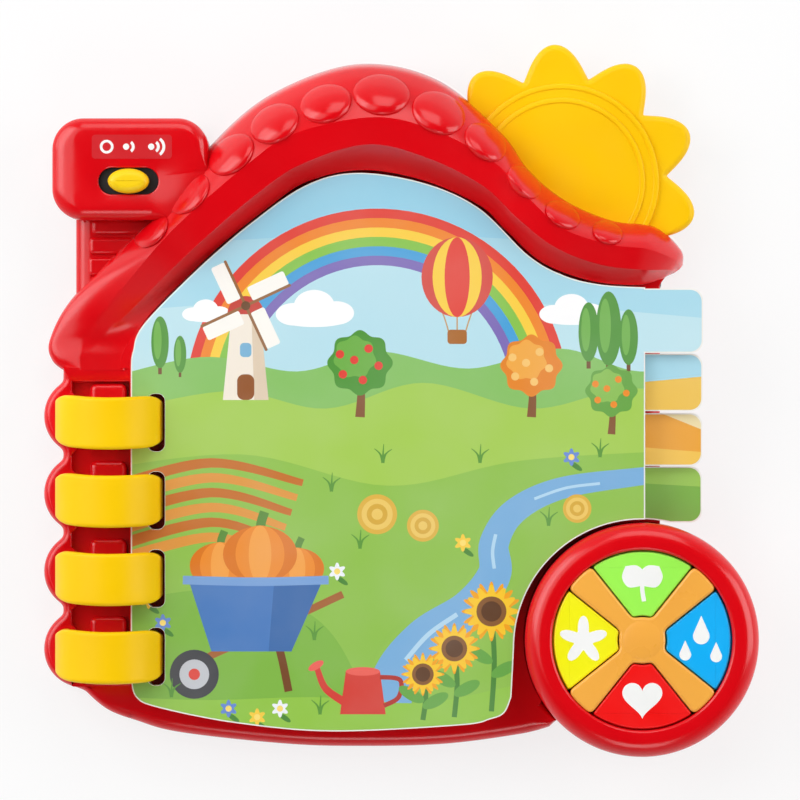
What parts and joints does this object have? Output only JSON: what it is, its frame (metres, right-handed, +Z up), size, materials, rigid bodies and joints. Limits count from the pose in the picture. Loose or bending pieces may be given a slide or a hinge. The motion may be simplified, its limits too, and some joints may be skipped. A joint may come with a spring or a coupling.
{
  "type": "talking farm book",
  "caption": "House-shaped talking book for a baby: thick board pages turn on yellow rings, with a tiled roof, a chimney selector, a sun and a round pad of sprung buttons.",
  "frame": {"origin": "on the back face that the book lies on, under the middle of the house", "axes": "+X to the reader's right, +Y towards the roof, +Z up from the back face to the reader"},
  "size_m": [0.251, 0.2499, 0.0435],
  "materials": {
    "casing_red": "moulded gloss",
    "ring_yellow": "moulded gloss",
    "sun_yellow": "moulded satin",
    "cross_orange": "moulded, slightly clear",
    "key_green": "moulded satin",
    "key_blue": "moulded satin",
    "key_red": "moulded satin",
    "key_yellow": "moulded satin",
    "knob_yellow": "moulded satin",
    "label_film": "printed film",
    "page_board": "printed and varnished",
    "bare_steel": "zinc plated",
    "speaker_basket": "pressed steel",
    "speaker_paper": "pressed pulp",
    "ferrite": "sintered",
    "circuit_board": "solder mask",
    "black_resin": "moulded",
    "cell_jacket": "printed film",
    "silicone": "moulded silicone",
    "lead_insulation": "extruded"
  },
  "bodies": {
    "base": {"rear_cover": "casing_red", "front_casing": "casing_red", "roof_shell": "casing_red", "chimney_shell": "casing_red", "sun_front": "sun_yellow", "button_bezel": "casing_red", "button_cross": "cross_orange", "keypad_membrane": "silicone", "button_board": "circuit_board", "selector_label": "label_film", "selector_switch": "black_resin", "battery_door": "casing_red", "battery_door_screw": "bare_steel", "batteries": "cell_jacket", "battery_springs": "bare_steel", "battery_plates": "bare_steel", "speaker_frame": "speaker_basket", "speaker_cone": "speaker_paper", "speaker_magnet": "ferrite", "main_board": "circuit_board", "sound_chip": "black_resin", "sensor_board": "circuit_board", "page_sensors": "black_resin", "case_screws": "bare_steel", "board_screws": "bare_steel", "speaker_lead": "lead_insulation", "battery_lead": "lead_insulation", "selector_lead": "lead_insulation", "button_lead": "lead_insulation", "ring_1": "ring_yellow", "ring_2": "ring_yellow", "ring_3": "ring_yellow", "ring_4": "ring_yellow"},
    "page_1": {"page_1": "page_board", "page_1_magnet": "bare_steel"},
    "page_2": {"page_2": "page_board", "page_2_magnet": "bare_steel"},
    "page_3": {"page_3": "page_board", "page_3_magnet": "bare_steel"},
    "page_4": {"page_4": "page_board", "page_4_magnet": "bare_steel"},
    "button_green": {"button_green": "key_green"},
    "button_blue": {"button_blue": "key_blue"},
    "button_red": {"button_red": "key_red"},
    "button_yellow": {"button_yellow": "key_yellow"},
    "selector_knob": {"selector_knob": "knob_yellow"}
  },
  "joints": [
    {"name": "inner_pages_turn", "type": "hinge", "parent": "base", "child": "page_2", "pos_m": [-0.102, -0.02, 0.02457], "axis": [0, -1, 0], "range_deg": [0, 178]},
    {"name": "page_3_turn", "type": "hinge", "parent": "base", "child": "page_3", "pos_m": [-0.102, -0.02, 0.02457], "axis": [0, -1, 0], "range_deg": [0, 173]},
    {"name": "page_4_turn", "type": "hinge", "parent": "base", "child": "page_4", "pos_m": [-0.102, -0.02, 0.02457], "axis": [0, -1, 0], "range_deg": [0, 168]},
    {"name": "cover_turn", "type": "hinge", "parent": "page_2", "child": "page_1", "pos_m": [-0.102, -0.02, 0.02457], "axis": [0, 1, 0], "range_deg": [-178, 0]},
    {"name": "green_button_press", "type": "slide", "parent": "base", "child": "button_green", "axis": [0, 0, -1], "range_m": [0, 0.0018], "stiffness_N_per_m": 400, "springref_m": -0.001},
    {"name": "blue_button_press", "type": "slide", "parent": "base", "child": "button_blue", "axis": [0, 0, -1], "range_m": [0, 0.0018], "stiffness_N_per_m": 400, "springref_m": -0.001},
    {"name": "red_button_press", "type": "slide", "parent": "base", "child": "button_red", "axis": [0, 0, -1], "range_m": [0, 0.0018], "stiffness_N_per_m": 400, "springref_m": -0.001},
    {"name": "yellow_button_press", "type": "slide", "parent": "base", "child": "button_yellow", "axis": [0, 0, -1], "range_m": [0, 0.0018], "stiffness_N_per_m": 400, "springref_m": -0.001},
    {"name": "selector_slide", "type": "slide", "parent": "base", "child": "selector_knob", "axis": [1, 0, 0], "range_m": [-0.003, 0.003]}
  ],
  "couplings": [
    {"joint": "page_3_turn", "follows": "inner_pages_turn", "ratio": 0.97},
    {"joint": "page_4_turn", "follows": "inner_pages_turn", "ratio": 0.94}
  ]
}
